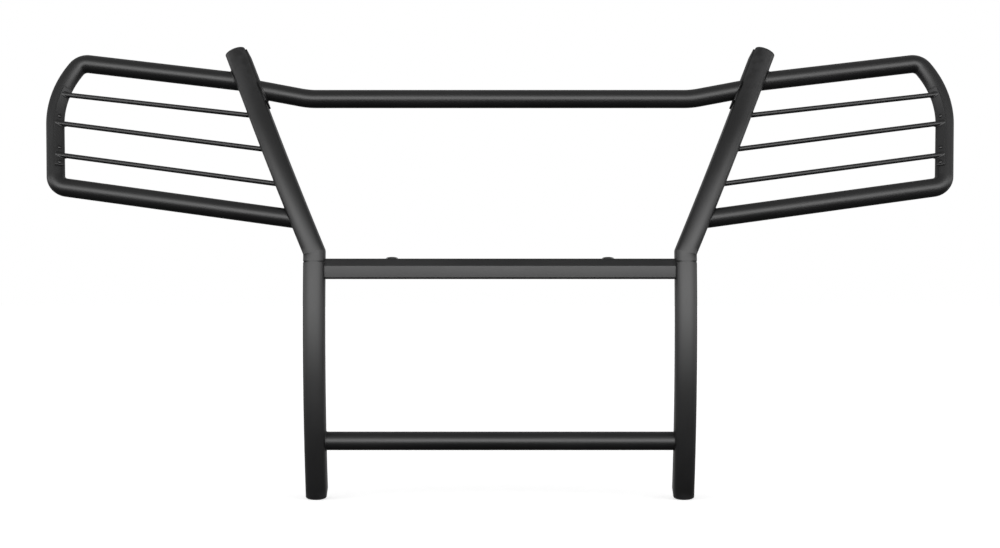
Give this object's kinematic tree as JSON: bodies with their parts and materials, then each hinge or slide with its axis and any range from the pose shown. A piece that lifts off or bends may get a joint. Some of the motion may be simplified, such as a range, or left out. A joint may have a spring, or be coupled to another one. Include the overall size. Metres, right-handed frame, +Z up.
{
  "type": "front grille guard",
  "caption": "Black tubular front grille guard for a pickup truck: rolled uprights, cross tubes, lamp bar and headlamp wings with rods.",
  "frame": {"origin": "bottom centre of the box around the guard: midway between the uprights, at the height of their lower ends, halfway between its front and back", "axes": "+X to the right as seen from in front of the truck; +Y towards the truck; +Z up as mounted"},
  "size_m": [1.8968, 0.2382, 0.9418],
  "materials": {
    "powder_coat": "semi-gloss black powder coat with a fine texture",
    "black_plastic": "satin moulded black plastic",
    "black_screw": "black coated steel, a little glossier than the tubes",
    "zinc_steel": "bright zinc plating"
  },
  "bodies": {
    "root": {"lamp_bar": "powder_coat", "left_bolt_1": "zinc_steel", "left_bolt_2": "zinc_steel", "left_bottom_cap": "black_plastic", "left_frame_bracket": "powder_coat", "left_joint_plate": "powder_coat", "left_lamp_hole_plug": "black_plastic", "left_mounting_plate": "powder_coat", "left_nut_1": "zinc_steel", "left_nut_2": "zinc_steel", "left_rod_1": "powder_coat", "left_rod_2": "powder_coat", "left_rod_3": "powder_coat", "left_rod_strap": "powder_coat", "left_strap_screw_1": "black_screw", "left_strap_screw_2": "black_screw", "left_strap_screw_3": "black_screw", "left_top_cap": "black_plastic", "left_upright_lower": "powder_coat", "left_upright_upper": "powder_coat", "left_wing_tube": "powder_coat", "lower_cross_tube": "powder_coat", "right_bolt_1": "zinc_steel", "right_bolt_2": "zinc_steel", "right_bottom_cap": "black_plastic", "right_frame_bracket": "powder_coat", "right_joint_plate": "powder_coat", "right_lamp_hole_plug": "black_plastic", "right_mounting_plate": "powder_coat", "right_nut_1": "zinc_steel", "right_nut_2": "zinc_steel", "right_rod_1": "powder_coat", "right_rod_2": "powder_coat", "right_rod_3": "powder_coat", "right_rod_strap": "powder_coat", "right_strap_screw_1": "black_screw", "right_strap_screw_2": "black_screw", "right_strap_screw_3": "black_screw", "right_top_cap": "black_plastic", "right_upright_lower": "powder_coat", "right_upright_upper": "powder_coat", "right_wing_tube": "powder_coat", "upper_cross_tube": "powder_coat"}
  },
  "joints": []
}
